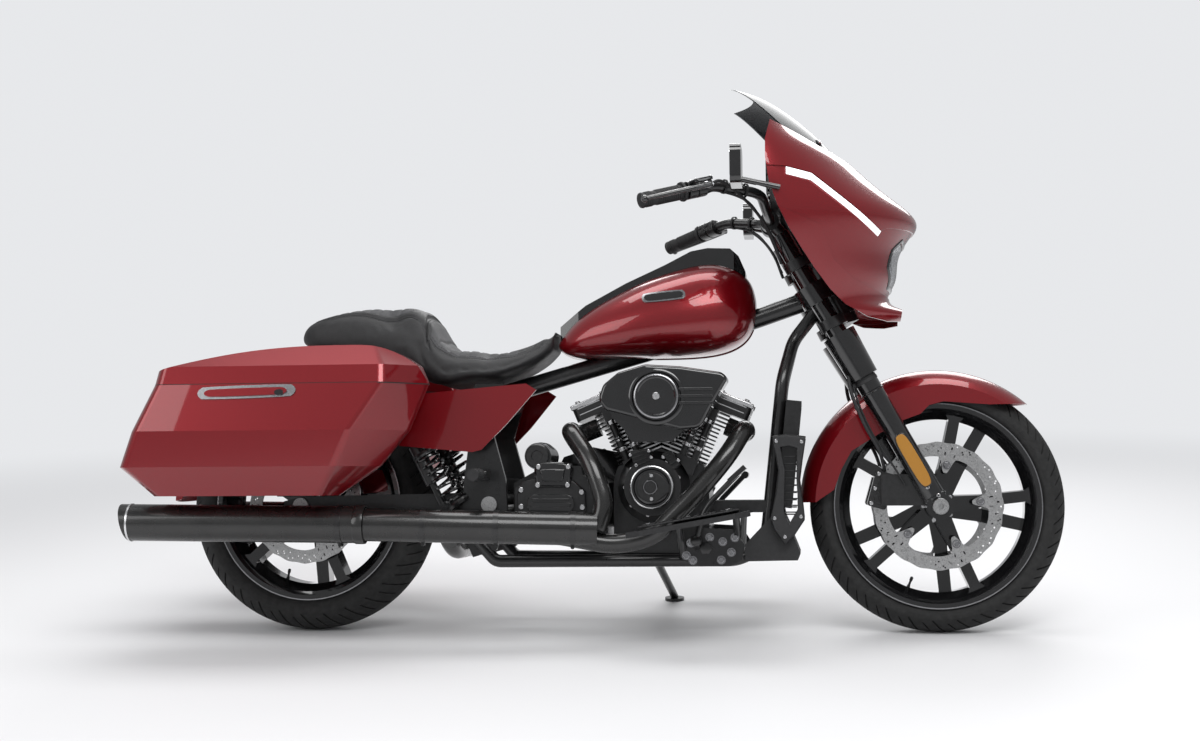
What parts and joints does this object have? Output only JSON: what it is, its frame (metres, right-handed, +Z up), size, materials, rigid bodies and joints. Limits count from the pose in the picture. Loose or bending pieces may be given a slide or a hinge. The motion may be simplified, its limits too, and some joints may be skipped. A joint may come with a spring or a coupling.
{
  "type": "touring cruiser motorcycle",
  "caption": "Touring motorcycle with V-twin engine, fork-mounted fairing, hard saddlebags and two-up seat, leaning on its side stand",
  "frame": {"origin": "centre of the box's underside, on the ground", "axes": "+X forward, +Y to the rider's left, +Z up; the machine leans to its left on its side stand"},
  "size_m": [2.3512, 1.0306, 1.3869],
  "materials": {
    "black_gloss": "gloss",
    "black_metal": "satin",
    "black_plastic": "matte",
    "engine_black": "powder coat",
    "exhaust_black": "satin",
    "lamp": "clear",
    "red": "gloss candy",
    "red_lamp": "gloss",
    "rubber": "matte",
    "seat_vinyl": "grained",
    "smoke": "smoked",
    "steel": "brushed",
    "tyre": "matte",
    "wheel_black": "gloss black"
  },
  "bodies": {
    "frame": {"air_cleaner": "black_gloss", "backbone": "black_metal", "chin": "black_plastic", "cradle_tubes": "black_metal", "cylinders": "engine_black", "drive_belt": "rubber", "engine_case": "engine_black", "exhaust": "exhaust_black", "foot_brackets": "black_metal", "foot_levers": "black_metal", "frame_mounts": "black_metal", "fuel_tank": "red", "gearbox": "engine_black", "mufflers": "exhaust_black", "plate_bracket": "black_plastic", "primary_cover": "black_gloss", "radiator": "black_metal", "rear_axle": "steel", "rear_caliper": "black_metal", "rear_fender": "red", "rear_subframe": "black_metal", "saddlebags": "red", "seat": "seat_vinyl", "shocks": "black_metal", "side_covers": "red", "starter": "black_metal", "swingarm": "black_metal", "tail_lamp": "red_lamp", "tank_console": "black_gloss", "timing_chest": "engine_black"},
    "steering": {"fork_clamps": "black_metal", "fork_legs": "black_gloss", "fork_covers": "black_metal", "front_axle": "steel", "handlebar": "black_metal", "grips": "rubber", "hand_controls": "black_metal", "fairing": "red", "front_lamps": "lamp", "dash": "black_plastic", "windscreen": "smoke", "mirrors": "black_gloss", "front_fender": "red", "front_calipers": "black_metal"},
    "front_wheel": {"front_tyre": "tyre", "front_wheel": "wheel_black", "front_discs": "steel"},
    "rear_wheel": {"rear_tyre": "tyre", "rear_wheel": "wheel_black", "rear_disc": "steel", "rear_pulley": "black_metal"},
    "side_stand": {"side_stand": "black_metal"},
    "lid_left": {"bag_lid_left": "red"},
    "lid_right": {"bag_lid_right": "red"},
    "board_left": {"footboard_left": "rubber"},
    "board_right": {"footboard_right": "rubber"},
    "peg_left": {"peg_left": "rubber"},
    "peg_right": {"peg_right": "rubber"},
    "fuel_door": {"fuel_door": "black_gloss"}
  },
  "joints": [
    {"name": "steering_turn", "type": "hinge", "parent": "frame", "child": "steering", "pos_m": [0.63077, -0.01313, 0.80595], "axis": [-0.4384, 0.1095, 0.8921], "range_deg": [-28, 28]},
    {"name": "front_wheel_spin", "type": "hinge", "parent": "steering", "child": "front_wheel", "pos_m": [0.8568, -0.07311, 0.31743], "axis": [0, 0.9925, -0.1219], "continuous": true},
    {"name": "rear_wheel_spin", "type": "hinge", "parent": "frame", "child": "rear_wheel", "pos_m": [-0.7682, -0.07208, 0.32587], "axis": [0, 0.9925, -0.1219], "continuous": true},
    {"name": "side_stand_fold", "type": "hinge", "parent": "frame", "child": "side_stand", "pos_m": [0.1143, 0.09767, 0.16567], "axis": [0.0362, 0.6307, 0.7752], "range_deg": [0, 88]},
    {"name": "lid_left_open", "type": "hinge", "parent": "frame", "child": "lid_left", "pos_m": [0.0443, 0.17566, 0.59739], "axis": [1, 0, 0], "range_deg": [0, 50]},
    {"name": "lid_right_open", "type": "hinge", "parent": "frame", "child": "lid_right", "pos_m": [0.0443, -0.24677, 0.64925], "axis": [-1, 0, 0], "range_deg": [0, 50]},
    {"name": "board_left_fold", "type": "hinge", "parent": "frame", "child": "board_left", "pos_m": [0.0963, 0.19478, 0.22629], "axis": [0.9849, 0.0211, 0.1717], "range_deg": [0, 35]},
    {"name": "board_right_fold", "type": "hinge", "parent": "frame", "child": "board_right", "pos_m": [0.0963, -0.35509, 0.2938], "axis": [-0.9849, -0.0211, -0.1717], "range_deg": [0, 35]},
    {"name": "peg_left_fold", "type": "hinge", "parent": "frame", "child": "peg_left", "pos_m": [-0.2857, 0.14161, 0.37588], "axis": [1, 0, 0], "range_deg": [0, 70]},
    {"name": "peg_right_fold", "type": "hinge", "parent": "frame", "child": "peg_right", "pos_m": [-0.2857, -0.26732, 0.42609], "axis": [-1, 0, 0], "range_deg": [0, 70]},
    {"name": "fuel_door_open", "type": "hinge", "parent": "frame", "child": "fuel_door", "pos_m": [0.3325, 0.00796, 0.97766], "axis": [0, 0.9925, -0.1219], "range_deg": [0, 95]}
  ]
}
